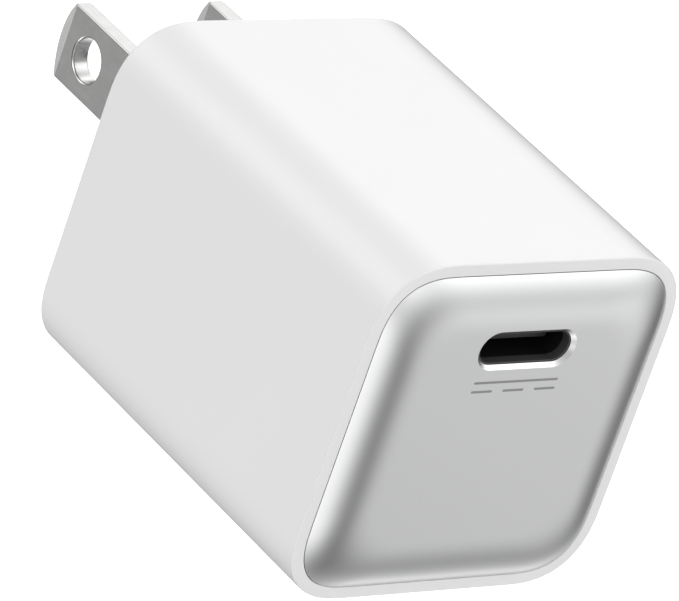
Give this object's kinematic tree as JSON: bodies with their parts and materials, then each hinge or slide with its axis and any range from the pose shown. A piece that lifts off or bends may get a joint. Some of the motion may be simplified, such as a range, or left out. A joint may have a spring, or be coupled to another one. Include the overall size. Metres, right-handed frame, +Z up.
{
  "type": "usb-c wall charger",
  "caption": "Compact white cube wall charger with a crowned metallic front panel, a USB-C socket and folding flat prongs.",
  "frame": {"origin": "under the middle of the box that holds the charger with its prongs out, at the height of its underside", "axes": "+Z up, +Y towards the wall along the prongs, -Y the socket side, +X to the right seen from the socket side"},
  "size_m": [0.0286, 0.0524, 0.0285],
  "materials": {
    "casing_white": "fine satin moulded polycarbonate",
    "panel_satin": "fine-grained satin silver",
    "prong_nickel": "smooth nickel plate",
    "grey_plastic": "matte moulded",
    "black_plastic": "matte moulded",
    "socket_dark": "dark nickel plate",
    "mark_grey": "grey print on the front panel",
    "steel_parts": "plain drawn steel",
    "spring_bronze": "rolled strip",
    "circuit_board": "solder mask",
    "chip_black": "moulded epoxy",
    "ferrite_grey": "ground ferrite",
    "tape_yellow": "smooth tape",
    "body_cream": "smooth",
    "can_aluminium": "drawn can",
    "can_sleeve": "shrink sleeve",
    "disc_blue": "dipped coating",
    "pad_grey": "soft pad",
    "film_amber": "polyimide film",
    "copper_sheet": "rolled copper"
  },
  "bodies": {
    "charger": {"outer_sleeve": "casing_white", "front_panel": "panel_satin", "rear_cover": "casing_white", "hinge_retainer": "grey_plastic", "hinge_pin": "steel_parts", "detent_spring": "steel_parts", "left_retainer_screw": "steel_parts", "left_contact_spring": "spring_bronze", "right_retainer_screw": "steel_parts", "right_contact_spring": "spring_bronze", "output_board": "circuit_board", "usb_shell": "socket_dark", "usb_tongue": "black_plastic", "output_controller": "chip_black", "output_switch": "chip_black", "sync_rectifier": "chip_black", "output_capacitor_1": "can_aluminium", "output_capacitor_2": "can_aluminium", "output_inductor": "ferrite_grey", "board_header": "black_plastic", "main_board": "circuit_board", "bulk_capacitor_1": "can_sleeve", "bulk_capacitor_2": "can_sleeve", "bulk_capacitor_3": "can_sleeve", "transformer_core_lower": "ferrite_grey", "transformer_core_upper": "ferrite_grey", "transformer_bobbin": "black_plastic", "transformer_winding": "tape_yellow", "optocoupler": "body_cream", "y_capacitor": "disc_blue", "bridge_rectifier": "chip_black", "power_stage_chip": "chip_black", "primary_controller": "chip_black", "thermal_pad": "pad_grey", "insulation_sheet": "film_amber", "heat_spreader": "copper_sheet", "input_board": "circuit_board", "choke_core": "ferrite_grey", "choke_winding_left": "copper_sheet", "choke_winding_right": "copper_sheet", "choke_divider": "grey_plastic", "varistor": "disc_blue", "x_capacitor": "tape_yellow", "fuse": "body_cream"},
    "prongs": {"hinge_carrier": "grey_plastic", "left_blade": "prong_nickel", "right_blade": "prong_nickel"}
  },
  "joints": [
    {"name": "prong_fold", "type": "hinge", "parent": "charger", "child": "prongs", "pos_m": [0, 0.00745, 0.01885], "axis": [-1, 0, 0], "range_deg": [0, 90]}
  ]
}
